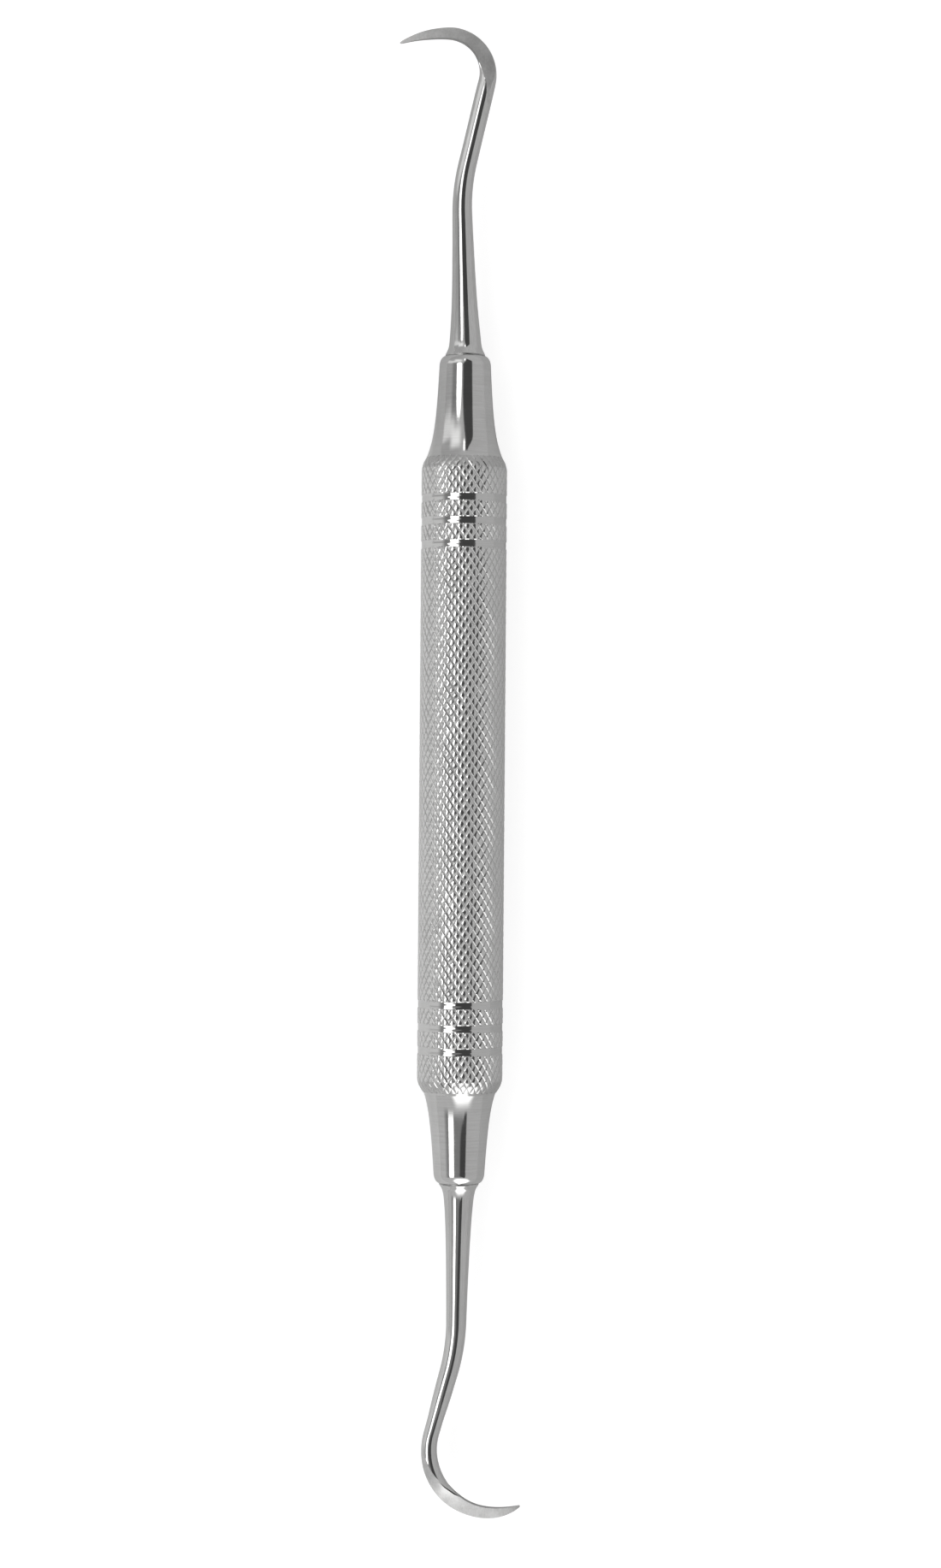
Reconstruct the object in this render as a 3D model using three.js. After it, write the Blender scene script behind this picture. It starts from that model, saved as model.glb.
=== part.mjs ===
// Double-ended hand scaler: a hollow knurled handle, a turned cone welded into each end of it, and a
// forged tip with a hooked blade brazed into each cone. Millimetres, +Z up. The handle's axis is X,
// both hooks lie in the XY plane, and the origin is on the axis at the middle of the handle.
import * as THREE from 'three';

// ---- Driving dimensions: handle ----
const HANDLE_DIAMETER = 9.5;
const HANDLE_LENGTH = 70.1;
const HANDLE_BORE = 7.9;
const HANDLE_END_DIAMETER = 8.3;
const HANDLE_END_ROUNDING = 1.6; // length over which each end rounds in
const BAND_COUNT = 3; // plain turned bands near each end
const BAND_FROM_END = 4.57; // middle of the outermost band
const BAND_PITCH = 2.56;
const BAND_WIDTH = 0.83;
const BAND_DEPTH = 0.07;
const BAND_CHAMFER = 0.05;

// ---- Driving dimensions: joints between the turned pieces ----
const FIT_GAP = 0.05; // clearance left all round between neighbours
const WELD_WIDTH = 0.2;
const BRAZE_WIDTH = 0.15;
const NECK_DIAMETER = 4.4; // where the cone's shoulder meets the root of the shank
const TANG_DIAMETER = 2.4;
const TANG_DEPTH = 5; // how far the tang reaches past the handle's end face
const SPIGOT_DEPTH = 6; // how far the cone reaches inside the handle
const SHOULDER_LENGTH = 1.2;

// ---- Resolution of the solids ----
const ROUND_SIDES = 40; // even, with a flat facet straight down
const ARC_STEPS = 4;
const FLARE_STEPS = 9;

// Each end: cone shape, the path of the tip from its root to its point, and its section along that path.
// A path is a list of stretches, each with its length and the angle in degrees that it turns through.
// The section lists hold [distance back from the point, value], with values in millimetres, degrees or
// shares of the half width.
const UPPER_END = {
  name: 'upper',
  cone: { length: 11.3, waist: 3.24, taper: 0.04, flare: 0.98, flareLength: 2.5 },
  path: [
    { length: 3, turn: 1.85 },
    { length: 12.6, turn: 0 },
    { length: 5.65, turn: -14.85 },
    { length: 9.22, turn: 0 },
    { length: 8, turn: 103 },
    { length: 5.5, turn: 24.4 },
  ],
  halfWidth: [
    [0, 0.08], [0.45, 0.18], [1.45, 0.31], [3.05, 0.49], [5.5, 0.63], [9, 0.77], [12.5, 0.94], [14.5, 1],
    [21, 1], [27.9, 1.09], [34.4, 1.26], [38.7, 1.45], [42.3, 1.73], [43.2, 1.86], [43.97, 2.2],
  ],
  flatDistance: [[0, 0.5], [5.5, 0.52], [11, 0.55], [12.2, 0.62], [13.65, 0.93], [16, 1], [17, 1.1]],
  flatTilt: [[0, 8], [5.5, 8], [11, 6], [13.65, 15], [16, 45]],
  faceShare: [[0, 0.2], [9, 0.2], [11, 0.1], [12.5, 0]],
};

const LOWER_END = {
  name: 'lower',
  cone: { length: 10.2, waist: 3.355, taper: 0.06, flare: 0.68, flareLength: 2.27 },
  path: [
    { length: 3, turn: -0.7 },
    { length: 12.25, turn: 0 },
    { length: 5.66, turn: -14.7 },
    { length: 7.04, turn: 0 },
    { length: 16.04, turn: 133.2 },
  ],
  halfWidth: [
    [0, 0.08], [0.65, 0.25], [1.9, 0.46], [3.35, 0.6], [5.76, 0.71], [8.77, 0.86], [11.8, 0.91], [15, 0.87],
    [17.5, 0.88], [20.5, 1], [28.7, 1.12], [33.1, 1.21], [38.3, 1.38], [42, 1.61], [43.4, 1.85], [43.99, 2.2],
  ],
  flatDistance: [[0, 0.5], [5.5, 0.52], [8.6, 0.6], [10, 0.72], [12, 0.87], [14, 1], [15, 1.1]],
  flatTilt: [[0, 8], [6.5, 8], [8.6, 12], [10, 20], [12, 37], [14, 50]],
  faceShare: [[0, 0.2], [6, 0.2], [8.5, 0.06], [9.5, 0]],
};

const HALF_HANDLE = HANDLE_LENGTH / 2;
const radians = THREE.MathUtils.degToRad;

// ---- Materials ----
function steel(color, roughness) {
  return new THREE.MeshStandardMaterial({ color, roughness, metalness: 1 });
}

const knurledSteel = () => steel(0xb4b4b4, 0.3);
const polishedSteel = () => steel(0xc4c4c4, 0.12);
const groundSteel = () => steel(0xaaaaaa, 0.35);
const fillerMetal = () => steel(0xb8b4ac, 0.3);

// ---- Turned pieces ----

// A solid of revolution about X. The profile holds [distance along X, radius] pairs round a closed outline.
function turned(name, profile, material) {
  const points = [...profile, profile[0]].map(([along, radius]) => new THREE.Vector2(radius, along));
  const geometry = new THREE.LatheGeometry(points, ROUND_SIDES, Math.PI / ROUND_SIDES);
  const mesh = new THREE.Mesh(geometry, material);
  mesh.name = name;
  mesh.rotation.z = -Math.PI / 2;
  return mesh;
}

// A quarter of an ellipse from (along, radius) to (along + run, radius + rise), steep at its start.
function quarter(along, radius, run, rise) {
  return Array.from({ length: ARC_STEPS + 1 }, (_, i) => {
    const angle = (i / ARC_STEPS) * (Math.PI / 2);
    return [along + run * (1 - Math.cos(angle)), radius + rise * Math.sin(angle)];
  });
}

// The handle's end rounds in on a parabola that runs level into its full radius.
function handleEnd() {
  const rise = (HANDLE_DIAMETER - HANDLE_END_DIAMETER) / 2;
  return Array.from({ length: ARC_STEPS + 1 }, (_, i) => {
    const share = i / ARC_STEPS;
    return [share * HANDLE_END_ROUNDING - HALF_HANDLE, HANDLE_DIAMETER / 2 - rise * (1 - share) ** 2];
  });
}

function bandGroove(middle) {
  const radius = HANDLE_DIAMETER / 2;
  const half = BAND_WIDTH / 2;
  return [
    [middle - half - BAND_CHAMFER, radius],
    [middle - half, radius - BAND_DEPTH],
    [middle + half, radius - BAND_DEPTH],
    [middle + half + BAND_CHAMFER, radius],
  ];
}

function handleTube() {
  const bands = Array.from({ length: BAND_COUNT }, (_, i) => {
    return bandGroove(BAND_FROM_END + i * BAND_PITCH - HALF_HANDLE);
  });
  const firstHalf = [[-HALF_HANDLE, HANDLE_BORE / 2], ...handleEnd(), ...bands.flat()];
  const secondHalf = firstHalf.map(([along, radius]) => [-along, radius]).reverse();
  return turned('handle_tube', [...firstHalf, ...secondHalf], knurledSteel());
}

// The closed outline of a ring whose outside may taper.
function ringOutline(start, width, innerRadius, firstRadius, lastRadius) {
  return [
    [start, innerRadius],
    [start, firstRadius],
    [start + width, lastRadius],
    [start + width, innerRadius],
  ];
}

function coneRadius(cone, distance) {
  return cone.waist - cone.taper * distance + cone.flare * Math.exp(-distance / cone.flareLength);
}

function endCone({ name, cone }) {
  const spigotRadius = HANDLE_BORE / 2 - FIT_GAP;
  const boreRadius = TANG_DIAMETER / 2 + FIT_GAP;
  const collar = WELD_WIDTH + 2 * FIT_GAP;
  const face = cone.length - BRAZE_WIDTH / 2 - FIT_GAP;
  const shoulder = face - SHOULDER_LENGTH;
  const flare = Array.from({ length: FLARE_STEPS + 1 }, (_, i) => {
    const distance = collar + (shoulder - collar) * (i / FLARE_STEPS) ** 1.5;
    return [distance, coneRadius(cone, distance)];
  });
  const shoulderRadius = coneRadius(cone, shoulder);
  const drop = shoulderRadius - NECK_DIAMETER / 2;
  const rounded = quarter(face, NECK_DIAMETER / 2, -SHOULDER_LENGTH, drop).reverse().slice(1);
  const outline = [
    [-SPIGOT_DEPTH, boreRadius],
    [-SPIGOT_DEPTH, spigotRadius],
    [collar, spigotRadius],
    ...flare,
    ...rounded,
    [face, boreRadius],
  ];
  return turned(`${name}_end_cone`, outline, polishedSteel());
}

function weldRing({ name, cone }) {
  const lastRadius = coneRadius(cone, FIT_GAP + WELD_WIDTH);
  const outline = ringOutline(FIT_GAP, WELD_WIDTH, HANDLE_BORE / 2, HANDLE_END_DIAMETER / 2, lastRadius);
  return turned(`${name}_weld_ring`, outline, polishedSteel());
}

function brazeRing({ name, cone }) {
  const start = cone.length - BRAZE_WIDTH / 2;
  const neckRadius = NECK_DIAMETER / 2;
  const outline = ringOutline(start, BRAZE_WIDTH, TANG_DIAMETER / 2 + FIT_GAP, neckRadius, neckRadius);
  return turned(`${name}_braze_ring`, outline, fillerMetal());
}

// ---- Tips: a section swept along a path of straights and arcs ----

// Where the path is, and the way it heads, at a distance from its start.
function walk(path, distance) {
  let x = 0;
  let y = 0;
  let heading = 0;
  let left = distance;
  for (const { length, turn } of path) {
    const step = Math.min(left, length);
    const bend = (radians(turn) * step) / length;
    const chord = bend === 0 ? step : (2 * step * Math.sin(bend / 2)) / bend;
    x += chord * Math.cos(heading + bend / 2);
    y += chord * Math.sin(heading + bend / 2);
    heading += bend;
    left -= step;
  }
  return { x, y, heading };
}

// Smooth reading of a list of [distance, value] stops.
function valueAt(stops, distance) {
  const last = stops.length - 1;
  const slope = (i) => {
    const before = stops[Math.max(i - 1, 0)];
    const after = stops[Math.min(i + 1, last)];
    return (after[1] - before[1]) / (after[0] - before[0]);
  };
  const clamped = Math.min(Math.max(distance, stops[0][0]), stops[last][0]);
  const next = Math.max(stops.findIndex(([at]) => at >= clamped), 1);
  const [from, start] = stops[next - 1];
  const [to, end] = stops[next];
  const span = to - from;
  const rise = end - start;
  const t = (clamped - from) / span;
  const leaving = slope(next - 1) * span - rise;
  const arriving = slope(next) * span - rise;
  return start + t * rise + t * (1 - t) * ((1 - t) * leaving - t * arriving);
}

// Half a section of the blade as [towards the hook's inside, up] points, from inner face round to back.
// A round blank is cut by the flat inner face and by a ground flat on each side that leans to the back.
const FACE_STEPS = 1;
const INSIDE_STEPS = 2;
const FLAT_STEPS = 2;
const BACK_STEPS = 3;
const LEAST_FACE = radians(20); // angles, seen from the centre, that the steps keep on a plain round section
const LEAST_FLAT_START = radians(75);
const LEAST_FLAT_END = radians(105);
const EDGE_BEVEL = radians(6);

function halfSection(half, flat, tilt, share) {
  const blank = half * (1 + share);
  const shift = half * share;
  const reach = flat * half + shift * Math.sin(tilt);
  const chord = Math.sqrt(Math.max(blank ** 2 - reach ** 2, 0));
  const edgeOf = (side) => {
    const u = shift - reach * Math.sin(tilt) + side * chord * Math.cos(tilt);
    const z = reach * Math.cos(tilt) + side * chord * Math.sin(tilt);
    return Math.atan2(z, u);
  };
  const faceToFlat = Math.atan2((flat * half + half * Math.sin(tilt)) / Math.cos(tilt), half);
  const faceToBlank = Math.atan2(2 * half * Math.sqrt(share), half);
  const face = Math.max(Math.min(faceToFlat, faceToBlank), LEAST_FACE);
  const flatStart = Math.max(Math.min(Math.max(edgeOf(1), faceToFlat), LEAST_FLAT_START), face + EDGE_BEVEL);
  const flatEnd = Math.max(edgeOf(-1), LEAST_FLAT_END);
  const radiusAt = (angle) => {
    const toBlank = shift * Math.cos(angle) + Math.sqrt(blank ** 2 - (shift * Math.sin(angle)) ** 2);
    const toFace = Math.cos(angle) > 0.01 ? half / Math.cos(angle) : Infinity;
    const toFlat = Math.sin(angle - tilt) > 0.01 ? (flat * half) / Math.sin(angle - tilt) : Infinity;
    return Math.min(toBlank, toFace, toFlat);
  };
  const bounds = [0, face, flatStart, flatEnd, Math.PI];
  const steps = [FACE_STEPS, INSIDE_STEPS, FLAT_STEPS, BACK_STEPS];
  const angles = steps.flatMap((count, region) => {
    const width = bounds[region + 1] - bounds[region];
    return Array.from({ length: count }, (_, i) => bounds[region] + (width * i) / count);
  });
  return [...angles, Math.PI].map((angle) => {
    const radius = radiusAt(angle);
    return [radius * Math.cos(angle), radius * Math.sin(angle)];
  });
}

// One closed ring of points across the path.
function ringAt(place, outline) {
  const mirrored = outline.slice(1, -1).reverse().map(([u, z]) => [u, -z]);
  return [...outline, ...mirrored].map(([u, z]) => {
    return new THREE.Vector3(place.x - u * Math.sin(place.heading), place.y + u * Math.cos(place.heading), z);
  });
}

// A closed solid through rings of equal count, with a flat cap on the first and the last.
function loft(rings) {
  const count = rings[0].length;
  const positions = rings.flat().flatMap((point) => point.toArray());
  const centre = (ring) => {
    return ring.reduce((sum, point) => sum.add(point), new THREE.Vector3()).divideScalar(count);
  };
  const indices = [];
  for (let i = 0; i < rings.length - 1; i += 1) {
    for (let j = 0; j < count; j += 1) {
      const a = i * count + j;
      const b = i * count + ((j + 1) % count);
      indices.push(a, b, b + count, a, b + count, a + count);
    }
  }
  const firstCentre = rings.length * count;
  const lastCentre = firstCentre + 1;
  const lastRing = (rings.length - 1) * count;
  positions.push(...centre(rings[0]).toArray(), ...centre(rings[rings.length - 1]).toArray());
  for (let j = 0; j < count; j += 1) {
    const next = (j + 1) % count;
    indices.push(firstCentre, next, j, lastCentre, lastRing + j, lastRing + next);
  }
  const geometry = new THREE.BufferGeometry();
  geometry.setAttribute('position', new THREE.Float32BufferAttribute(positions, 3));
  geometry.setIndex(indices);
  geometry.computeVertexNormals();
  return geometry;
}

// Distances from the root at which a tip has a ring: close in the root's flare and in the hook.
const ROOT_FLARE = 5;
const ROOT_RINGS = 5;
const SHANK_STEP = 2.6;
const HOOK_LENGTH = 17.5;
const HOOK_STEP = 0.62;

function ringDistances(total) {
  const flare = Array.from({ length: ROOT_RINGS }, (_, i) => ROOT_FLARE * (i / ROOT_RINGS) ** 2);
  const hookStart = total - HOOK_LENGTH;
  const shankCount = Math.round((hookStart - ROOT_FLARE) / SHANK_STEP);
  const hookCount = Math.round(HOOK_LENGTH / HOOK_STEP);
  const shank = Array.from({ length: shankCount }, (_, i) => {
    return ROOT_FLARE + ((hookStart - ROOT_FLARE) * i) / shankCount;
  });
  const hook = Array.from({ length: hookCount + 1 }, (_, i) => hookStart + (HOOK_LENGTH * i) / hookCount);
  return [...flare, ...shank, ...hook];
}

function tip({ name, cone, path, halfWidth, flatDistance, flatTilt, faceShare }) {
  const root = cone.length + BRAZE_WIDTH / 2 + FIT_GAP;
  const total = path.reduce((sum, stretch) => sum + stretch.length, 0);
  const round = (radius) => halfSection(radius, 2, 0, 0);
  const tang = round(TANG_DIAMETER / 2);
  const straight = (x) => ({ x, y: 0, heading: 0 });
  const swept = ringDistances(total).map((distance) => {
    const back = total - distance;
    const section = halfSection(
      valueAt(halfWidth, back),
      valueAt(flatDistance, back),
      radians(valueAt(flatTilt, back)),
      Math.max(valueAt(faceShare, back), 0),
    );
    const place = walk(path, distance);
    return ringAt({ ...place, x: place.x + root }, section);
  });
  const rings = [ringAt(straight(-TANG_DEPTH), tang), ringAt(straight(root), tang), ...swept];
  const mesh = new THREE.Mesh(loft(rings), groundSteel());
  mesh.name = `${name}_tip`;
  return mesh;
}

// ---- Assembly ----

// Everything beyond one end of the handle, along +X from the handle's end face.
function workingEnd(end) {
  const group = new THREE.Group();
  group.add(weldRing(end), endCone(end), brazeRing(end), tip(end));
  group.position.x = HALF_HANDLE;
  return group;
}

const upper = workingEnd(UPPER_END);
const lower = new THREE.Group();
lower.add(workingEnd(LOWER_END));
lower.rotation.z = Math.PI;

const scaler = new THREE.Group();
scaler.add(handleTube(), upper, lower);

export default scaler;
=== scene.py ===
import math

import bpy
import numpy as np
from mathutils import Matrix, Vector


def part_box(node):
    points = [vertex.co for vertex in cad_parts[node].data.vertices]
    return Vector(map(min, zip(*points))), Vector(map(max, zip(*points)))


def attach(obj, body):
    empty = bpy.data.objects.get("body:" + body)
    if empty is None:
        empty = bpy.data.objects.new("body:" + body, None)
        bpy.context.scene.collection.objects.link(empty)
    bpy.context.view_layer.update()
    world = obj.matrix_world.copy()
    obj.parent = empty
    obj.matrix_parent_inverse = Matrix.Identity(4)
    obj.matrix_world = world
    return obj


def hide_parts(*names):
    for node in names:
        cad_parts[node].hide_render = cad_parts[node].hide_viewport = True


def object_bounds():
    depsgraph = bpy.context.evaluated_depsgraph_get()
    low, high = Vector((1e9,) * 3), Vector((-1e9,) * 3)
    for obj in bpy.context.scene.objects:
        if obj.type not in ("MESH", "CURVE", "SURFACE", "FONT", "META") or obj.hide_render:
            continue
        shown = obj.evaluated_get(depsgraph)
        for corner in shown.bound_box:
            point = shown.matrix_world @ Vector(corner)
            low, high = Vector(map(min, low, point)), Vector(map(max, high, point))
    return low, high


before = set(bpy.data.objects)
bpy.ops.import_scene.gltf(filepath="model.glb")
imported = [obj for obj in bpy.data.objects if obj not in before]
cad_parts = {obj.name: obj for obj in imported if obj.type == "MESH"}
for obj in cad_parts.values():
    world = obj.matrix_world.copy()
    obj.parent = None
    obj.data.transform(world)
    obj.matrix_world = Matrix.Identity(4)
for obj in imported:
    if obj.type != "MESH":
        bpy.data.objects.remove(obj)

CAD_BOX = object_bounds()
MM = 0.001

# ---------------------------------------------------------------------------------------------
# Sizes read from the frame, in millimetres. The handle's axis is X; the upper end is at +X.
# ---------------------------------------------------------------------------------------------


def span(node, axis):
    """Lowest and highest place of a CAD node along one axis, in millimetres."""
    low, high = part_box(node)
    return low[axis] / MM, high[axis] / MM


HALF_HANDLE = span("handle_tube", 0)[1]
HANDLE_RADIUS = span("handle_tube", 1)[1]
FIT_GAP = span("upper_weld_ring", 0)[0] - HALF_HANDLE
HANDLE_END_RADIUS = span("upper_weld_ring", 1)[1]
NECK_RADIUS = span("upper_braze_ring", 1)[1]
SPIGOT_DEPTH = HALF_HANDLE - span("upper_end_cone", 0)[0]
TANG_DEPTH = HALF_HANDLE - span("upper_tip", 0)[0]

# Shapes that a box doesn't give, as in the CAD source. The bands' chamfers are wider here than
# there, and their floors narrower, so that the whole band takes up the same length.
HANDLE_BORE_RADIUS = 3.95
HANDLE_END_ROUNDING = 1.6
TANG_RADIUS = 1.2
SHOULDER_LENGTH = 1.2
BAND_COUNT = 3
BAND_FROM_END = 4.57
BAND_PITCH = 2.56
BAND_WIDTH = 0.75
BAND_DEPTH = 0.07
BAND_CHAMFER = 0.09

# The two working ends, in millimetres and degrees. A path is a row of (length, turn) pieces from the
# shank's root to the point. The other lists are (distance from the point, value): a section's half
# width; how far its ground flat lies from its middle, as a share of that; the flat's tilt; and how
# far the inner face is set in. side is 1 or -1 for the end at +X or -X.
UPPER = {
    "name": "upper",
    "side": 1,
    "cone": {"waist": 3.24, "taper": 0.04, "flare": 0.98, "flare_length": 2.5},
    "path": [(3, 1.85), (12.6, 0), (5.65, -14.85), (9.22, 0), (8, 103), (5.5, 24.4)],
    "half_width": [
        (0, 0.03), (0.06, 0.09), (0.45, 0.18), (1.45, 0.31), (3.05, 0.49), (5.5, 0.63), (9, 0.77),
        (12.5, 0.94), (14.5, 1), (21, 1), (27.9, 1.09), (34.4, 1.26), (38.7, 1.45), (42.3, 1.73),
        (43.2, 1.86), (43.97, 2.2),
    ],
    "flat_distance": [
        (0, 0.5), (5.5, 0.52), (11, 0.55), (12.2, 0.62), (13.65, 0.93), (16, 1), (17, 1.1),
    ],
    "flat_tilt": [(0, 8), (5.5, 8), (11, 6), (13.65, 15), (16, 45)],
    "face_share": [(0, 0.2), (9, 0.2), (11, 0.1), (12.5, 0)],
    "corner_ease": 1.2,
}

LOWER = {
    "name": "lower",
    "side": -1,
    "cone": {"waist": 3.355, "taper": 0.06, "flare": 0.68, "flare_length": 2.27},
    "path": [(3, -0.7), (12.25, 0), (5.66, -14.7), (7.04, 0), (16.04, 133.2)],
    "half_width": [
        (0, 0.03), (0.06, 0.1), (0.65, 0.25), (1.9, 0.46), (3.35, 0.6), (5.76, 0.71), (8.77, 0.86),
        (11.8, 0.91), (15, 0.87), (17.5, 0.88), (20.5, 1), (28.7, 1.12), (33.1, 1.21), (38.3, 1.38),
        (42, 1.61), (43.4, 1.85), (43.99, 2.2),
    ],
    "flat_distance": [(0, 0.5), (5.5, 0.52), (8.6, 0.6), (10, 0.72), (12, 0.87), (14, 1), (15, 1.1)],
    "flat_tilt": [(0, 8), (6.5, 8), (8.6, 12), (10, 20), (12, 37), (14, 50)],
    "face_share": [(0, 0.2), (6, 0.2), (8.5, 0.06), (9.5, 0)],
    "corner_ease": 4,
}

# ---------------------------------------------------------------------------------------------
# Camera: square to the plane of the hooks, the upper end at the top of the picture
# ---------------------------------------------------------------------------------------------
CAMERA_HEIGHT = 0.4
SENSOR_SIZE = 36
TOOL_SHARE_OF_HEIGHT = 0.9505
CAMERA_ALONG = -0.00103
CAMERA_ACROSS = -0.00095
CAMERA_ROLL = 0.45

camera_data = bpy.data.cameras.new("camera")
camera = bpy.data.objects.new("camera", camera_data)
bpy.context.scene.collection.objects.link(camera)
tool_length = CAD_BOX[1].x - CAD_BOX[0].x
camera_data.sensor_width = SENSOR_SIZE
camera_data.lens = SENSOR_SIZE * TOOL_SHARE_OF_HEIGHT * CAMERA_HEIGHT / tool_length
camera_data.clip_start = 0.01
camera.location = (CAMERA_ALONG, CAMERA_ACROSS, CAMERA_HEIGHT)
camera.rotation_euler = (0, 0, math.radians(CAMERA_ROLL - 90))
bpy.context.scene.camera = camera

# ---------------------------------------------------------------------------------------------
# Node helpers
# ---------------------------------------------------------------------------------------------


class Nodes:
    """Short ways to add and join shader nodes in one tree."""

    def __init__(self, tree):
        self.tree = tree
        tree.nodes.clear()

    def add(self, kind, settings=None, **inputs):
        node = self.tree.nodes.new(kind)
        for name, value in (settings or {}).items():
            setattr(node, name, value)
        for name, value in inputs.items():
            self.put(node.inputs[name.replace("_", " ")], value)
        return node

    def put(self, socket, value):
        if isinstance(value, bpy.types.NodeSocket):
            self.tree.links.new(value, socket)
        else:
            socket.default_value = value

    def math(self, operation, *values):
        node = self.tree.nodes.new("ShaderNodeMath")
        node.operation = operation
        for socket, value in zip(node.inputs, values):
            self.put(socket, value)
        return node.outputs[0]

    def ramp(self, value, low, high, to_low=0.0, to_high=1.0):
        """value carried smoothly from low..high to to_low..to_high, and level outside."""
        node = self.tree.nodes.new("ShaderNodeMapRange")
        node.interpolation_type = "SMOOTHSTEP"
        for socket, number in zip(node.inputs, (value, low, high, to_low, to_high)):
            self.put(socket, number)
        return node.outputs[0]

    def window(self, value, low, high, soft):
        """1 between low and high, 0 outside, with soft edges."""
        rise = self.ramp(value, self.math("SUBTRACT", low, soft), self.math("ADD", low, soft))
        fall = self.ramp(value, self.math("SUBTRACT", high, soft), self.math("ADD", high, soft), 1, 0)
        return self.math("MULTIPLY", rise, fall)

    def patch(self, first, first_reach, second, second_reach):
        """1 where both values are inside their own (low, high, soft), 0 outside."""
        return self.math("MULTIPLY", self.window(first, *first_reach), self.window(second, *second_reach))

    def mix(self, factor, a, b):
        """a and b mixed as numbers: a where factor is 0."""
        change = self.math("SUBTRACT", b, a)
        return self.math("MULTIPLY_ADD", change, factor, a)

    def noise(self, vector, scale, detail=3.0, roughness=0.5):
        node = self.add("ShaderNodeTexNoise", {"noise_dimensions": "3D"}, Vector=vector)
        node.inputs["Scale"].default_value = scale
        node.inputs["Detail"].default_value = detail
        node.inputs["Roughness"].default_value = roughness
        return node.outputs["Fac"]

    def scaled(self, vector, sizes):
        node = self.add("ShaderNodeMapping", {"vector_type": "POINT"}, Vector=vector)
        node.inputs["Scale"].default_value = sizes
        return node.outputs["Vector"]


# ---------------------------------------------------------------------------------------------
# Studio: a grey tent with one long softbox, a dark card beside it and a big softbox past the lower
# end. A direction is given by its share along X, and by its lean across in degrees from straight up.
# ---------------------------------------------------------------------------------------------
# Brightness of each part of the studio.
TENT_LEFT = 0.8
TENT_LEFT_PAST_UPPER = 0.48  # where the upper cone and shank see it
TENT_LEFT_PAST_LOWER = 0.78  # as a share of TENT_LEFT, past the lower end
TENT_RIGHT = 0.58
TENT_DIM = 0.27  # a dark strip just left of the softbox
SHANK_GLOW = 0.95  # the bright side of the tent that the upper shank sees
SOFTBOX = 2.8
DARK_CARD = 0.075
GREY_CARD = 0.27
END_SOFTBOX = 2.3
END_GLOW = 1.15
BACKDROP = 0.88  # plain, where the picture looks past the floor

EDGE = 1.2  # softness of the edges of the softbox and the card, in degrees of lean
BOX_ROUNDS_FROM = 0.14  # the softbox's upper end is a half ellipse that starts here along X
BOX_ROUND_REACH = 0.18


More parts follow.
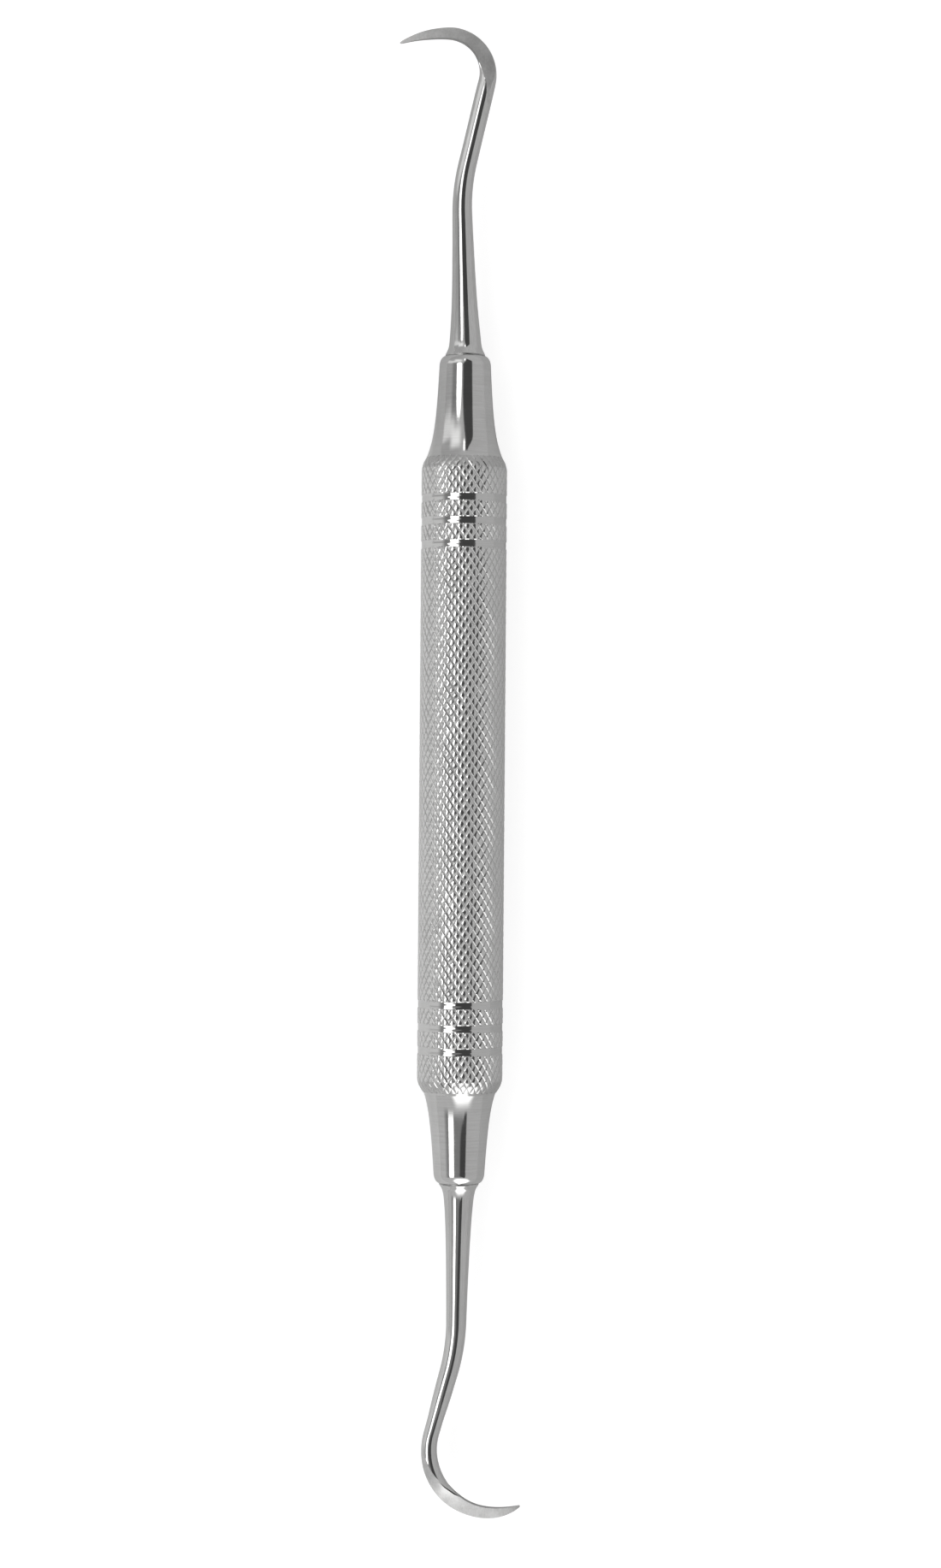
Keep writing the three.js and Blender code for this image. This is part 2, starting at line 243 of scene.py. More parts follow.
def studio():
    """The world, as brightness by direction: the tent first, then each thing that covers it."""
    world = bpy.data.worlds.new("studio")
    world.use_nodes = True
    bpy.context.scene.world = world
    n = Nodes(world.node_tree)
    direction = n.add("ShaderNodeTexCoord").outputs["Generated"]
    axes = n.add("ShaderNodeSeparateXYZ", Vector=direction).outputs
    along, across, up = axes["X"], axes["Y"], axes["Z"]
    lean = n.math("MULTIPLY", n.math("ARCTAN2", across, up), 180 / math.pi)

    # Long softbox, narrower past the upper end of the handle.
    box_low = n.math("ADD", n.ramp(along, -0.07, 0.07, 21.5, 14), n.ramp(along, -0.25, -0.1, 1.5, 0))
    box_high = n.math("ADD", n.ramp(along, -0.07, 0.07, 45, 37), n.ramp(along, -0.25, -0.1, -2, 0))
    past = n.math("DIVIDE", n.math("SUBTRACT", along, BOX_ROUNDS_FROM), BOX_ROUND_REACH)
    past = n.math("MAXIMUM", past, 0.0)
    end_shape = n.math("SUBTRACT", 1.0, n.math("MULTIPLY", past, past))
    end_shape = n.math("SQRT", n.math("MAXIMUM", end_shape, 0.0))
    box_middle = n.math("MULTIPLY", n.math("ADD", box_low, box_high), 0.5)
    box_half = n.math("MULTIPLY", n.math("SUBTRACT", box_high, box_low), 0.5)
    box_half = n.math("MULTIPLY", box_half, end_shape)
    box_from = n.math("SUBTRACT", box_middle, box_half)
    box = n.window(lean, box_from, n.math("ADD", box_middle, box_half), EDGE)
    box = n.math("MULTIPLY", box, n.ramp(along, -0.46, -0.3))
    box = n.math("MULTIPLY", box, n.ramp(along, 0.29, 0.32, 1, 0))

    # Dark card to the right of it, with a grey card behind at the lower end.
    card_high = n.math("ADD", n.ramp(along, -0.22, -0.09, -4, 13), n.ramp(along, 0.05, 0.6, 0, -17))
    card_high = n.math("ADD", card_high, n.ramp(along, -0.45, -0.25, -18, 0))
    card_low = n.math("ADD", n.ramp(along, 0.45, 0.72, 0, 21), n.ramp(along, -0.24, -0.12, -29, -32))
    card_edge = n.ramp(along, -0.24, -0.12, 4, EDGE)
    right_edge = n.ramp(lean, n.math("SUBTRACT", card_low, EDGE), n.math("ADD", card_low, EDGE))
    left_edge = n.ramp(
        lean, n.math("SUBTRACT", card_high, card_edge), n.math("ADD", card_high, card_edge), 1, 0
    )
    card = n.math("MULTIPLY", right_edge, left_edge)
    card_ends = n.math("MULTIPLY", n.ramp(along, -0.45, -0.4), n.ramp(along, 0.68, 0.72, 1, 0))
    card = n.math("MULTIPLY", card, card_ends)
    grey = n.patch(lean, (-14, 24, 2), along, (-0.4, -0.1, 0.04))

    # Tent, brighter to the left, with its own bright and dark places.
    left = n.math(
        "MULTIPLY",
        n.ramp(along, 0.09, 0.16, TENT_LEFT, TENT_LEFT_PAST_UPPER),
        n.ramp(along, -0.14, -0.05, TENT_LEFT_PAST_LOWER, 1),
    )
    tent = n.ramp(lean, -15, 45, TENT_RIGHT, left)
    tent = n.mix(n.patch(lean, (42, 88, 8), along, (0.26, 0.46, 0.05)), tent, SHANK_GLOW)
    tent = n.mix(n.patch(lean, (30, 57, 8), along, (-0.42, 0.3, 0.05)), tent, TENT_DIM)

    # What the flares of the cones and the handle's rounded ends see, far along X.
    glow = n.patch(lean, (16, 52, 10), along, (0.38, 0.62, 0.07))
    sliver = n.patch(lean, (-1, 4, EDGE), along, (0.54, 0.7, 0.03))
    end_low = n.ramp(along, -0.75, -0.5, -62, -40)
    end_high = n.ramp(along, -0.75, -0.5, 28, 15)
    end_box = n.window(lean, end_low, end_high, 12)
    end_box = n.math("MULTIPLY", end_box, n.ramp(along, -0.66, -0.42, 1, 0))

    light = n.mix(glow, tent, END_GLOW)
    light = n.mix(grey, light, GREY_CARD)
    light = n.mix(card, light, DARK_CARD)
    light = n.mix(box, light, SOFTBOX)
    light = n.mix(sliver, light, SOFTBOX)
    light = n.mix(end_box, light, END_SOFTBOX)
    seen = n.add("ShaderNodeLightPath").outputs["Is Camera Ray"]
    light = n.mix(seen, light, BACKDROP)
    background = n.add("ShaderNodeBackground")
    background.inputs["Color"].default_value = (1, 1, 1, 1)
    n.put(background.inputs["Strength"], light)
    output = n.add("ShaderNodeOutputWorld")
    n.put(output.inputs["Surface"], background.outputs[0])


FLOOR_RADIUS = 1.5
FLOOR_SIDES = 64
# As the steel mirrors it, with painted shade and light: darker to the right of the tool, and lighter to
# its left at the handle and past each end.
FLOOR_PAINTED_SHADE = 0.62
FLOOR_LEFT = 0.95
FLOOR_LEFT_UPPER = 0.68
FLOOR_LEFT_LOWER = 0.85
FLOOR_END_STEP = 0.006  # how gradually these change, in metres
FLOOR_SIDE_STEP = (-0.002, 0.006)
# As the camera sees it: a diffuse white with a glow added.
FLOOR_WHITE = 0.4
FLOOR_GLOW = 0.76


def floor():
    """A wide pale disc just under the handle, brighter to the eye than in the steel, where it carries
    painted shade to the tool's right and painted light to its left.
    """
    height = CAD_BOX[0].z
    turn = [2 * math.pi * i / FLOOR_SIDES for i in range(FLOOR_SIDES)]
    rim = [(FLOOR_RADIUS * math.cos(a), FLOOR_RADIUS * math.sin(a), height) for a in turn]
    mesh = bpy.data.meshes.new("floor")
    mesh.from_pydata(rim, [], [list(range(FLOOR_SIDES))])
    disc = bpy.data.objects.new("floor", mesh)
    bpy.context.scene.collection.objects.link(disc)
    material, n = new_material("floor_white")
    seen = n.add("ShaderNodeLightPath").outputs["Is Camera Ray"]
    place = n.add("ShaderNodeNewGeometry").outputs["Position"]
    axes = n.add("ShaderNodeSeparateXYZ", Vector=place).outputs
    end = HALF_HANDLE * MM
    left = n.math(
        "ADD",
        n.ramp(axes["X"], end, end + FLOOR_END_STEP, FLOOR_LEFT, FLOOR_LEFT_UPPER),
        n.ramp(axes["X"], -end - FLOOR_END_STEP, -end, FLOOR_LEFT_LOWER - FLOOR_LEFT, 0),
    )
    # painted shade to the right of the tool and painted light to its left, seen only in the steel's
    # reflections
    grey = n.ramp(axes["Y"], *FLOOR_SIDE_STEP, FLOOR_PAINTED_SHADE, left)
    shade = n.mix(seen, grey, FLOOR_WHITE)
    diffuse = n.add("ShaderNodeBsdfDiffuse")
    color = n.add("ShaderNodeCombineColor")
    for channel in ("Red", "Green", "Blue"):
        n.put(color.inputs[channel], shade)
    n.put(diffuse.inputs["Color"], color.outputs[0])
    glow = n.add("ShaderNodeEmission")
    n.put(glow.inputs["Strength"], n.math("MULTIPLY", seen, FLOOR_GLOW))
    both = n.add("ShaderNodeAddShader")
    n.put(both.inputs[0], diffuse.outputs[0])
    n.put(both.inputs[1], glow.outputs[0])
    output = n.add("ShaderNodeOutputMaterial")
    n.put(output.inputs["Surface"], both.outputs[0])
    mesh.materials.append(material)


# ---------------------------------------------------------------------------------------------
# Materials
# ---------------------------------------------------------------------------------------------


CLOUD_RANGE = (0.3, 0.7)  # the part of a noise's range that carries most of it
POLISHED_GREYS = (0.58, 0.66)
POLISHED_ROUGHNESS = (0.06, 0.12)
# greys in the grooves and on the crests: the darker groove grey is painted shade, the lighter crest grey
# is wear
KNURL_GREYS = (0.5, 0.74)
KNURL_ROUGHNESS = (0.2, 0.1)  # in the grooves and on the crests
BRAZE_GREYS = (0.28, 0.45)
BRAZE_ROUGHNESS = (0.25, 0.45)


def new_material(name):
    """An empty node material and the helper that fills it."""
    material = bpy.data.materials.new(name)
    material.use_nodes = True
    return material, Nodes(material.node_tree)


def steel_shader(n, color, roughness, normal):
    """The metal's shader and the material's output."""
    shader = n.add("ShaderNodeBsdfPrincipled")
    shader.inputs["Metallic"].default_value = 1
    n.put(shader.inputs["Base Color"], color)
    n.put(shader.inputs["Roughness"], roughness)
    n.put(shader.inputs["Normal"], normal)
    output = n.add("ShaderNodeOutputMaterial")
    n.put(output.inputs["Surface"], shader.outputs[0])


def grey_ramp(n, value, dark, light):
    """A colour between two greys, slightly warm as stainless steel is."""
    ramp = n.add("ShaderNodeValToRGB", Fac=value)
    ramp.color_ramp.elements[0].color = (dark, dark * 0.995, dark * 0.985, 1)
    ramp.color_ramp.elements[1].color = (light, light * 0.998, light * 0.99, 1)
    return ramp.outputs["Color"]


def bump(n, height, strength, distance):
    """The normal of a surface with this height, where distance is in metres."""
    node = n.add("ShaderNodeBump")
    node.inputs["Strength"].default_value = strength
    node.inputs["Distance"].default_value = distance
    n.put(node.inputs["Height"], height)
    return node.outputs["Normal"]


def polished_steel(name, lines=(9000, 300, 300)):
    """Polished steel with the faint lines of the polishing wheel and a soft unevenness."""
    material, n = new_material(name)
    place = n.add("ShaderNodeTexCoord").outputs["Object"]
    cloud = n.noise(place, 260, 4, 0.6)
    wheel = n.noise(n.scaled(place, lines), 1, 2, 0.5)
    speckle = n.noise(place, 5200, 2, 0.5)
    both = n.math("MULTIPLY_ADD", wheel, 0.5, n.math("MULTIPLY", cloud, 0.5))
    color = grey_ramp(n, n.ramp(both, *CLOUD_RANGE), *POLISHED_GREYS)
    uneven = n.math("MULTIPLY_ADD", speckle, 0.35, n.math("MULTIPLY", cloud, 0.65))
    rough = n.ramp(uneven, *CLOUD_RANGE, *POLISHED_ROUGHNESS)
    normal = bump(n, n.math("MULTIPLY_ADD", cloud, 4.0, wheel), 0.25, 0.000004)
    steel_shader(n, color, rough, normal)
    return material


def ground_steel(name, greys, roughness):
    """The satin flats of the blade: fine scratches from the grinding wheel and a dense speckle."""
    material, n = new_material(name)
    place = n.add("ShaderNodeTexCoord").outputs["Object"]
    scratches = n.noise(n.scaled(place, (2600, 14000, 2600)), 1, 3, 0.6)
    speckle = n.noise(place, 4200, 3, 0.65)
    cloud = n.noise(place, 700, 3, 0.6)
    both = n.math("MULTIPLY_ADD", scratches, 0.4, n.math("MULTIPLY", speckle, 0.6))
    shade = n.math("MULTIPLY_ADD", cloud, 0.4, n.math("MULTIPLY", both, 0.6))
    color = grey_ramp(n, n.ramp(shade, 0.35, 0.65), *greys)
    rough = n.ramp(both, *CLOUD_RANGE, *roughness)
    normal = bump(n, both, 0.3, 0.00001)
    steel_shader(n, color, rough, normal)
    return material


def knurled_steel(name):
    """Bright crests from wear, with duller grooves darkened by painted shade, found by their distance from
    the axis.
    """
    material, n = new_material(name)
    place = n.add("ShaderNodeTexCoord").outputs["Object"]
    axes = n.add("ShaderNodeSeparateXYZ", Vector=place).outputs
    square = n.math("MULTIPLY_ADD", axes["Y"], axes["Y"], n.math("MULTIPLY", axes["Z"], axes["Z"]))
    radius = n.math("SQRT", square)
    top = HANDLE_RADIUS * MM
    # crest mask: lighter crests as wear, darker grooves as painted shade
    crest_wear_and_groove_shade = n.ramp(radius, top - 0.75 * KNURL_DEPTH * MM, top - 0.1 * KNURL_DEPTH * MM)
    cloud = n.noise(place, 420, 4, 0.6)
    lines = n.noise(n.scaled(place, (16000, 500, 500)), 1, 2, 0.5)
    speckle = n.noise(place, 6000, 2, 0.5)
    shade = n.math("MULTIPLY_ADD", crest_wear_and_groove_shade, 0.6, n.math("MULTIPLY", cloud, 0.4))
    color = grey_ramp(n, shade, *KNURL_GREYS)
    rough = n.math("MULTIPLY_ADD", speckle, 0.08, n.ramp(crest_wear_and_groove_shade, 0, 1, *KNURL_ROUGHNESS))
    normal = bump(n, n.math("MULTIPLY_ADD", speckle, 1.5, lines), 0.3, 0.000006)
    steel_shader(n, color, rough, normal)
    return material


def filler_metal(name):
    """The thin line of braze, a little darker and duller than the steel on each side."""
    material, n = new_material(name)
    place = n.add("ShaderNodeTexCoord").outputs["Object"]
    cloud = n.noise(place, 1800, 4, 0.6)
    color = grey_ramp(n, n.ramp(cloud, *CLOUD_RANGE), *BRAZE_GREYS)
    rough = n.ramp(cloud, *CLOUD_RANGE, *BRAZE_ROUGHNESS)
    steel_shader(n, color, rough, bump(n, cloud, 0.4, 0.00001))
    return material


# ---------------------------------------------------------------------------------------------
# Mesh helpers
# ---------------------------------------------------------------------------------------------
SHARP_ANGLE = 14  # degrees between faces above which an edge is shaded as an edge


def piece(name, vertices, faces, materials, node, face_materials=None):
    """A finished piece from millimetre vertices: shaded, given its materials and put in the frame."""
    mesh = bpy.data.meshes.new(name)
    mesh.from_pydata((np.asarray(vertices, float) * MM).tolist(), [], faces)
    for material in materials:
        mesh.materials.append(material)
    if face_materials is not None:
        mesh.polygons.foreach_set("material_index", face_materials)
    mesh.polygons.foreach_set("use_smooth", [True] * len(mesh.polygons))
    mesh.update()
    mesh.set_sharp_from_angle(angle=math.radians(SHARP_ANGLE))
    made = bpy.data.objects.new(name, mesh)
    bpy.context.scene.collection.objects.link(made)
    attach(made, "root")
    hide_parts(node)
    return made


def lathe(outline, side, steps):
    """Vertices and faces of a closed outline, of (distance from the middle, radius), turned about X."""
    turn = 2 * math.pi * np.arange(steps) / steps
    along = np.array([p[0] for p in outline]) * side
    radius = np.array([p[1] for p in outline])
    vertices = np.empty((len(outline), steps, 3))
    vertices[:, :, 0] = along[:, None]
    vertices[:, :, 1] = radius[:, None] * np.cos(turn)
    vertices[:, :, 2] = radius[:, None] * np.sin(turn)
    faces = []
    for i in range(len(outline)):
        following = (i + 1) % len(outline)
        for j in range(steps):
            beside = (j + 1) % steps
            quad = [i * steps + j, following * steps + j, following * steps + beside, i * steps + beside]
            faces.append(quad if side > 0 else quad[::-1])
    return vertices.reshape(-1, 3), faces


def quarter(along, radius, run, rise, steps):
    """A quarter of an ellipse that leaves (along, radius) steeply and ends level, run and rise away."""
    angles = [0.5 * math.pi * i / steps for i in range(steps + 1)]
    return [(along + run * (1 - math.cos(a)), radius + rise * math.sin(a)) for a in angles]


# ---------------------------------------------------------------------------------------------
# Knurled handle: a grid whose rows and columns are sixths of a diamond, so each groove's bottom
# and both its edges run exactly along the diagonals of the grid
# ---------------------------------------------------------------------------------------------
KNURL_STARTS = 34  # diamonds round the handle
KNURL_DEPTH = 0.1
BACKHAND_SHARE = 0.78  # depth of the grooves of the other hand
KNURL_SEED = 7
FORWARD_SHARE = (0.88, 1.1)  # how much the depth differs from groove to groove
BACKWARD_SHARE = (0.8, 1.12)
WEAR = 0.003  # unevenness of the surface
CELLS = 6  # grid steps in one diamond, each way
GROOVE_PROFILE = (1, 0.28, 0)  # share of the depth, 0, 1 and 2 grid steps from a groove's bottom
FADED_DEPTH = 0.5  # share of the depth that is left at the handle's end face
COLUMNS = KNURL_STARTS * CELLS
DIAMOND_LENGTH = 1.28
END_ROWS = 19  # grid rows from the end face to the first band
BETWEEN_BANDS_ROWS = 8
BAND_ROWS = 4  # grid rows that a band takes the place of
BAND_RIDGE = 0.011  # height of the fine line along the middle of a band
BAND_PROFILE = ((0, 0), (0.16, 0.1), (0.34, 0), (0.44, 1), (0.56, 1), (0.66, 0), (0.84, 0.1), (1, 0))


def band_edges():
    """Where each band starts and ends, with its chamfers, as distances from the handle's end face."""
    half = BAND_WIDTH / 2 + BAND_CHAMFER
    middles = [BAND_FROM_END + i * BAND_PITCH for i in range(BAND_COUNT)]
    return [(middle - half, middle + half) for middle in middles]


def cone_radius(end, distance):
    """Radius of a cone, by the distance beyond the handle's end face."""
    cone = end["cone"]
    flare = cone["flare"] * math.exp(-distance / cone["flare_length"])
    return cone["waist"] - cone["taper"] * distance + flare


def weld_radius(end):
    """Radius at the handle's end face, where the weld meets it."""
    return max(HANDLE_END_RADIUS, cone_radius(end, 0))


def end_radius(distance, face_radius):
    """Crest radius near the end of the handle, by the distance from its end face."""
    share = min(distance / HANDLE_END_ROUNDING, 1)
    return HANDLE_RADIUS - (HANDLE_RADIUS - face_radius) * (1 - share) ** 2


def knurl_fade(distance):
    """The grooves run out over the rounded end."""
    return min(1, FADED_DEPTH + (1 - FADED_DEPTH) * distance / HANDLE_END_ROUNDING)


def half_handle_rows(face_radius):
    """(distance from the end face, radius, groove share, lattice row) from the end to the third band."""
    rows = []
    lattice = 0
    start = 0
    counts = [END_ROWS] + [BETWEEN_BANDS_ROWS] * (BAND_COUNT - 1)
    for (first, last), count in zip(band_edges(), counts):
        for i in range(count + 1):
            distance = start + (first - start) * i / count
            radius = end_radius(distance, face_radius)
            rows.append((distance, radius, knurl_fade(distance), lattice + i))
        lattice += count + BAND_ROWS
        rows += band_rows(first, last)
        start = last
    return rows, start, lattice


def band_rows(first, last):
    """A turned band: a chamfer on each side and a floor with a fine raised line along its middle."""
    floor_radius = HANDLE_RADIUS - BAND_DEPTH
    inside = last - first - 2 * BAND_CHAMFER
    base = first + BAND_CHAMFER
    return [
        (base + inside * share, floor_radius + BAND_RIDGE * lift, 0, None) for share, lift in BAND_PROFILE
    ]


def handle_rows():
    """All rows of the outside from the lower end to the upper: (x, radius, groove share, lattice row)."""
    rows, start, lattice = half_handle_rows(HANDLE_END_RADIUS)
    upper_rows, _, _ = half_handle_rows(weld_radius(UPPER))
    middle = 2 * (HALF_HANDLE - start)
    count = round(middle / DIAMOND_LENGTH * CELLS)
    lower = [(distance - HALF_HANDLE, radius, share, row) for distance, radius, share, row in rows]
    between = [
        (start - HALF_HANDLE + middle * i / count, HANDLE_RADIUS, 1, lattice + i) for i in range(count + 1)
    ]
    total = 2 * lattice + count
    upper = [
        (HALF_HANDLE - distance, radius, share, None if row is None else total - row)
        for distance, radius, share, row in reversed(upper_rows)
    ]
    return lower + between + upper


def groove_depths(row, columns, forward, backward):
    """How deep the surface lies at each column of a lattice row, in millimetres."""
    depth = 0 * columns
    families = ((row + columns, forward, 1), (row - columns, backward, BACKHAND_SHARE))
    for line, variation, share in families:
        nearest = np.round(line / CELLS).astype(int)
        away = np.abs(line - nearest * CELLS)
        groove = np.interp(away, range(len(GROOVE_PROFILE)), GROOVE_PROFILE)
        depth = np.maximum(depth, groove * variation[nearest % KNURL_STARTS] * share)
    return KNURL_DEPTH * depth


def knurled_handle(material, band_material):
    """The whole handle as one closed shell: the knurled outside, the two end faces and the bore."""
    rows = handle_rows()
    columns = np.arange(COLUMNS)
    turn = 2 * math.pi * columns / COLUMNS
    random = np.random.default_rng(KNURL_SEED)
    forward = random.uniform(*FORWARD_SHARE, KNURL_STARTS)
    backward = random.uniform(*BACKWARD_SHARE, KNURL_STARTS)
    vertices = []
    for x, radius, share, lattice in rows:
        wear = random.uniform(0, WEAR, COLUMNS)
        depth = 0
        if lattice is not None:
            depth = groove_depths(lattice, columns, forward, backward) * share + wear
        radii = radius - depth + 0 * columns
        vertices.append(np.stack([x + 0 * columns, radii * np.cos(turn), radii * np.sin(turn)], 1))
    bore = HANDLE_BORE_RADIUS
    for x in (HALF_HANDLE, -HALF_HANDLE):
        vertices.append(np.stack([x + 0 * columns, bore * np.cos(turn), bore * np.sin(turn)], 1))
    rings = len(vertices)
    faces, face_materials = [], []
    for i in range(rings):
        following = (i + 1) % rings
        low = rows[i][3] if i < len(rows) else None
        high = rows[following][3] if following < len(rows) else None
        for j in range(COLUMNS):
            beside = (j + 1) % COLUMNS
            a, b = i * COLUMNS + j, following * COLUMNS + j
            c, d = following * COLUMNS + beside, i * COLUMNS + beside
            if low is None or high is None:
                faces.append([a, b, c, d])
                face_materials.append(1)
                continue
            if splits_forward(low, j):
                faces += [[a, b, c], [a, c, d]]
            else:
                faces += [[a, b, d], [b, c, d]]
            face_materials += [0, 0]
    return piece(
        "knurled_handle", np.concatenate(vertices), faces, [material, band_material],
        "handle_tube", face_materials,
    )


def splits_forward(row, column):
    """True where the grid cell from this row and column is cut along the forward grooves."""
    from_forward = abs((row - column + CELLS // 2) % CELLS - CELLS // 2)
    from_backward = abs((row + column + 1 + CELLS // 2) % CELLS - CELLS // 2)
    return from_forward <= from_backward


# ---------------------------------------------------------------------------------------------
# Cones and rings
# ---------------------------------------------------------------------------------------------
TURNED_SIDES = 160
SEAM = 0.08  # width of the brazed joint where it shows
SEAM_DEPTH = 0.03
CONE_STEPS = 60
CONE_CROWDING = 1.4  # above 1, the steps are closer together in the flare
SHOULDER_STEPS = 16


def ends_of(node):
    """Where a node starts and ends, as distances beyond the handle's end face."""
    low, high = span(node, 0)
    return min(abs(low), abs(high)) - HALF_HANDLE, max(abs(low), abs(high)) - HALF_HANDLE


def joint_of(end):
    """The middle of the brazed joint, as a distance beyond the handle's end face."""
    return sum(ends_of(end["name"] + "_braze_ring")) / 2


def end_cone(end, material):
    """A cone with its spigot, its flare, its rounded shoulder and the bore that the tang fills."""
    node = end["name"] + "_end_cone"
    face = joint_of(end) - SEAM / 2
    collar = ends_of(end["name"] + "_weld_ring")[1]
    shoulder = face - SHOULDER_LENGTH
    spigot = HANDLE_BORE_RADIUS - FIT_GAP
    bore = TANG_RADIUS + FIT_GAP
    shares = [(i / CONE_STEPS) ** CONE_CROWDING for i in range(CONE_STEPS + 1)]
    distances = [collar + (shoulder - collar) * share for share in shares]
    flare = [(d, cone_radius(end, d)) for d in distances]
    drop = cone_radius(end, shoulder) - NECK_RADIUS
    rounded = quarter(face, NECK_RADIUS, -SHOULDER_LENGTH, drop, SHOULDER_STEPS)[::-1][1:]
    inner = [(-SPIGOT_DEPTH, bore), (-SPIGOT_DEPTH, spigot), (collar, spigot)]
    outline = inner + flare + rounded + [(face, bore)]
    placed = [(HALF_HANDLE + d, r) for d, r in outline]
    vertices, faces = lathe(placed, end["side"], TURNED_SIDES)
    return piece(end["name"] + "_cone", vertices, faces, [material], node)


def ring(end, node_suffix, reach, first_radius, last_radius, inner_radius, material):
    """A joint's ring over a reach beyond the handle's end face, from one outer radius to another."""
    node = end["name"] + node_suffix
    start, stop = reach
    outline = [(start, inner_radius), (start, first_radius), (stop, last_radius), (stop, inner_radius)]
    placed = [(HALF_HANDLE + d, r) for d, r in outline]
    vertices, faces = lathe(placed, end["side"], TURNED_SIDES)
    return piece(node + "_line", vertices, faces, [material], node)


# ---------------------------------------------------------------------------------------------
# Tips: a section swept along a path of straights and arcs
# ---------------------------------------------------------------------------------------------
# Steps round half a section: the inner face, from there to the flat, the flat, and the back.
FACE_STEPS = 4
INSIDE_STEPS = 14
CORNER_STEPS = 1
FLAT_STEPS = 10
BACK_STEPS = 20
LEAST_REGION = math.radians(1.2)
LEAST_FACE = math.radians(2)
FACET_LEAST = 0.12  # least width of a facet that shows as ground, as a share of the half width
NEARLY_ALONG = 0.01  # below this sine or cosine, a ray and a flat never meet
ROUND_FLAT = 2  # a flat this far out, in half widths, leaves a section round
# Spacing of the sections along a tip.
ROOT_FLARE = 5.0
ROOT_FLARE_RINGS = 30
SHANK_STEP = 0.35
HOOK_LENGTH = 18
HOOK_STEP = 0.14
POINT_LENGTH = 0.5
POINT_RINGS = 16


def walk(path, distance):
    """Where the path is, and the way it heads, at a distance from its start."""
    x, y, heading, left = 0.0, 0.0, 0.0, distance
    for length, turn in path:
        step = min(left, length)
        bend = math.radians(turn) * step / length
        chord = step if bend == 0 else 2 * step * math.sin(bend / 2) / bend
        x += chord * math.cos(heading + bend / 2)
        y += chord * math.sin(heading + bend / 2)
        heading += bend
        left -= step
    return x, y, heading


def value_at(stops, distance):
    """Smooth reading of a list of (distance, value) stops."""
    last = len(stops) - 1

    def slope(i):
        before, after = stops[max(i - 1, 0)], stops[min(i + 1, last)]
        return (after[1] - before[1]) / (after[0] - before[0])

    clamped = min(max(distance, stops[0][0]), stops[last][0])
    following = next(i for i in range(1, last + 1) if stops[i][0] >= clamped)
    (start, low), (stop, high) = stops[following - 1], stops[following]
    length, rise = stop - start, high - low
    t = (clamped - start) / length
    leaving = slope(following - 1) * length - rise
    arriving = slope(following) * length - rise
    return low + t * rise + t * (1 - t) * ((1 - t) * leaving - t * arriving)


def half_section(half, flat, tilt, share, ease=0):
    """Half a section as (towards the hook's inside, up) points, and which of its facets are ground.

    half is the half width, flat and share are shares of it, and tilt is the flat's angle. The corner
    between the inner face and the flat is cut back by the angle ease on each side.
    """
    blank, shift = half * (1 + share), half * share
    reach = flat * half + shift * math.sin(tilt)
    chord = math.sqrt(max(blank**2 - reach**2, 0))

    def edge(side):
        u = shift - reach * math.sin(tilt) + side * chord * math.cos(tilt)
        z = reach * math.cos(tilt) + side * chord * math.sin(tilt)
        return math.atan2(z, u)

    def radius_at(angle):
        to_blank = shift * math.cos(angle) + math.sqrt(blank**2 - (shift * math.sin(angle)) ** 2)
        facing, rising = math.cos(angle), math.sin(angle - tilt)
        to_face = half / facing if facing > NEARLY_ALONG else math.inf
        to_flat = flat * half / rising if rising > NEARLY_ALONG else math.inf
        return min(to_blank, to_face, to_flat)

    middle = math.pi / 2 + tilt
    face_to_flat = math.atan2((flat * half + half * math.sin(tilt)) / math.cos(tilt), half)
    face_to_blank = math.atan2(2 * half * math.sqrt(share), half)
    face = max(min(face_to_flat, face_to_blank), LEAST_FACE)
    flat_start = max(min(max(edge(1), face_to_flat), middle - LEAST_REGION), face + LEAST_REGION)
    flat_end = max(edge(-1), middle + LEAST_REGION, flat_start + LEAST_REGION)
    corner = min(ease, (flat_start - face) / 3, (flat_end - flat_start) / 3)
    bounds = [0, face, flat_start - corner, flat_start + corner, flat_end, math.pi]
    angles = []
    for region, count in enumerate((FACE_STEPS, INSIDE_STEPS, CORNER_STEPS, FLAT_STEPS, BACK_STEPS)):
        width = bounds[region + 1] - bounds[region]
        angles += [bounds[region] + width * i / count for i in range(count)]
    angles.append(math.pi)
    points = [(radius_at(a) * math.cos(a), radius_at(a) * math.sin(a)) for a in angles]
    is_ground = chord > FACET_LEAST * half
    edge_is_ground = flat_start - face < 2 * LEAST_REGION
    return points, (is_ground, edge_is_ground)


def ring_distances(total):
    """Distances from the root at which the tip has a section, close together where it changes."""
    flare = [ROOT_FLARE * (i / ROOT_FLARE_RINGS) ** 2 for i in range(ROOT_FLARE_RINGS)]
    hook_start = total - HOOK_LENGTH
    shank_rings = round((hook_start - ROOT_FLARE) / SHANK_STEP)
    shank = np.linspace(ROOT_FLARE, hook_start, shank_rings, endpoint=False)
    hook = np.linspace(hook_start, total - POINT_LENGTH, round(HOOK_LENGTH / HOOK_STEP), endpoint=False)
    point = total - POINT_LENGTH * np.linspace(1, 0, POINT_RINGS) ** 2
    return flare + list(shank) + list(hook) + list(point)


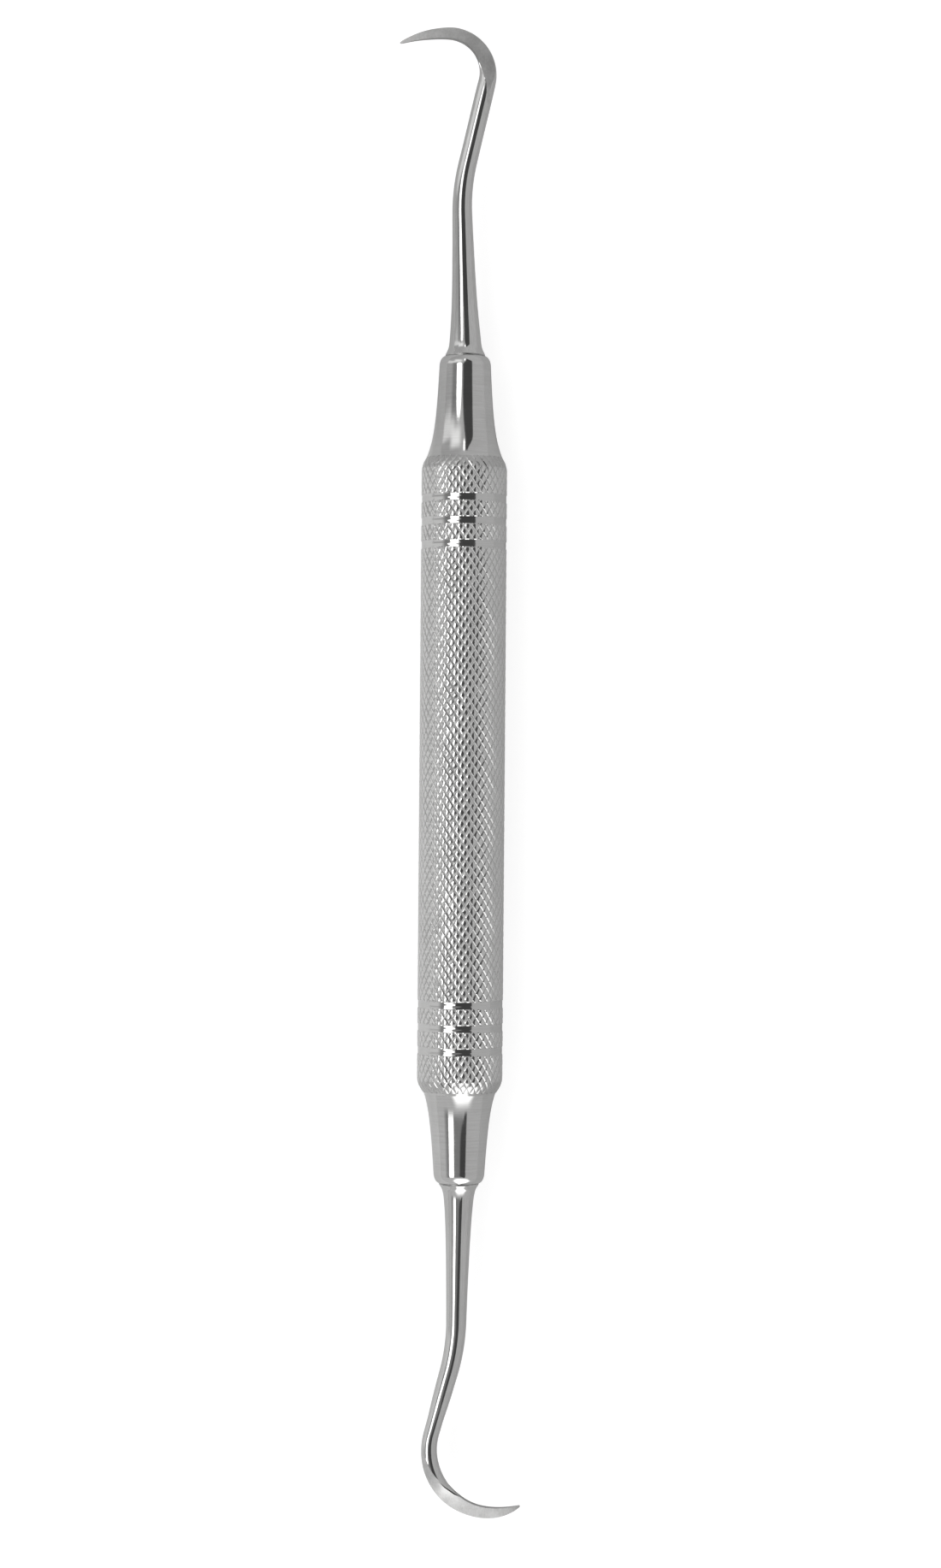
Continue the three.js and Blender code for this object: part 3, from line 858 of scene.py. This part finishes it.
def tip(end, polished, ground, face):
    """A tip in one piece: the tang, the shank's root, the shank and the hook with its ground flats."""
    node = end["name"] + "_tip"
    root = ends_of(end["name"] + "_braze_ring")[1] + FIT_GAP
    lead = root - joint_of(end) - SEAM / 2
    total = sum(length for length, _ in end["path"])
    tang, _ = half_section(TANG_RADIUS, ROUND_FLAT, 0, 0)
    neck, _ = half_section(end["half_width"][-1][1], ROUND_FLAT, 0, 0)
    plain = (False, False)
    sections = [((-TANG_DEPTH, 0, 0), tang, plain), ((root - lead, 0, 0), tang, plain)]
    sections.append(((root - lead, 0, 0), neck, plain))
    for distance in ring_distances(total):
        back = total - distance
        points, finish = half_section(
            value_at(end["half_width"], back),
            value_at(end["flat_distance"], back),
            math.radians(value_at(end["flat_tilt"], back)),
            max(value_at(end["face_share"], back), 0),
            math.radians(end["corner_ease"]),
        )
        x, y, heading = walk(end["path"], distance)
        sections.append(((x + root, y, heading), points, finish))
    vertices = []
    for (x, y, heading), points, _ in sections:
        whole = points + [(u, -z) for u, z in points[-2:0:-1]]
        for u, z in whole:
            across = (u * math.sin(heading), u * math.cos(heading))
            vertices.append((HALF_HANDLE + x - across[0], y + across[1], z))
    count = 2 * (len(tang) - 1)
    faces, face_materials = [], []
    for i in range(len(sections) - 1):
        for j in range(count):
            a, b = i * count + j, i * count + (j + 1) % count
            faces.append([a, b, b + count, a + count])
            face_materials.append(finish_of(j, count, *sections[i][2]))
    last = (len(sections) - 1) * count
    faces.append(list(range(count))[::-1])
    faces.append([last + j for j in range(count)])
    face_materials += [0, 1]
    placed = np.array(vertices)
    placed[:, :2] *= end["side"]
    return piece(
        end["name"] + "_scaling_tip", placed, faces, [polished, ground, face], node,
        face_materials,
    )


def finish_of(column, count, is_ground, edge_is_ground):
    """The material of one face: 0 polished, 1 a ground flat, 2 the ground inner face."""
    mirrored = min(column, count - 1 - column)
    flat_start = FACE_STEPS + INSIDE_STEPS + CORNER_STEPS
    if not is_ground or mirrored >= flat_start + FLAT_STEPS:
        return 0
    if mirrored >= flat_start:
        return 1
    return 2 if mirrored < FACE_STEPS or edge_is_ground else 0


# ---------------------------------------------------------------------------------------------
# The scene
# ---------------------------------------------------------------------------------------------
studio()
floor()

knurled = knurled_steel("knurled_steel")
turned_polish = polished_steel("turned_polished_steel")
shank_polish = polished_steel("shank_polished_steel", lines=(500, 9000, 9000))
# the same ground finish twice, in different greys: painted shade on the upper blade, painted light on the
# lower
lit_and_shaded_blade_ground = {
    "upper": ground_steel("upper_blade_ground_steel", greys=(0.46, 0.6), roughness=(0.42, 0.52)),
    "lower": ground_steel("lower_blade_ground_steel", greys=(0.53, 0.68), roughness=(0.32, 0.42)),
}
# the inner face is the ground finish painted darker: painted shade
shaded_blade_face = ground_steel("blade_face_ground_steel", greys=(0.33, 0.43), roughness=(0.35, 0.45))
braze = filler_metal("braze_metal")

knurled_handle(knurled, turned_polish)
for working_end in (UPPER, LOWER):
    weld_stop = ends_of(working_end["name"] + "_weld_ring")[1]
    ring(
        working_end, "_weld_ring", (0, weld_stop), weld_radius(working_end),
        cone_radius(working_end, weld_stop), HANDLE_BORE_RADIUS, turned_polish,
    )
    end_cone(working_end, turned_polish)
    joint = joint_of(working_end)
    ring(
        working_end, "_braze_ring", (joint - SEAM / 2, joint + SEAM / 2), NECK_RADIUS - SEAM_DEPTH,
        NECK_RADIUS - SEAM_DEPTH, TANG_RADIUS + FIT_GAP, braze,
    )
    tip(working_end, shank_polish, lit_and_shaded_blade_ground[working_end["name"]], shaded_blade_face)

bpy.context.scene.view_settings.view_transform = "Standard"
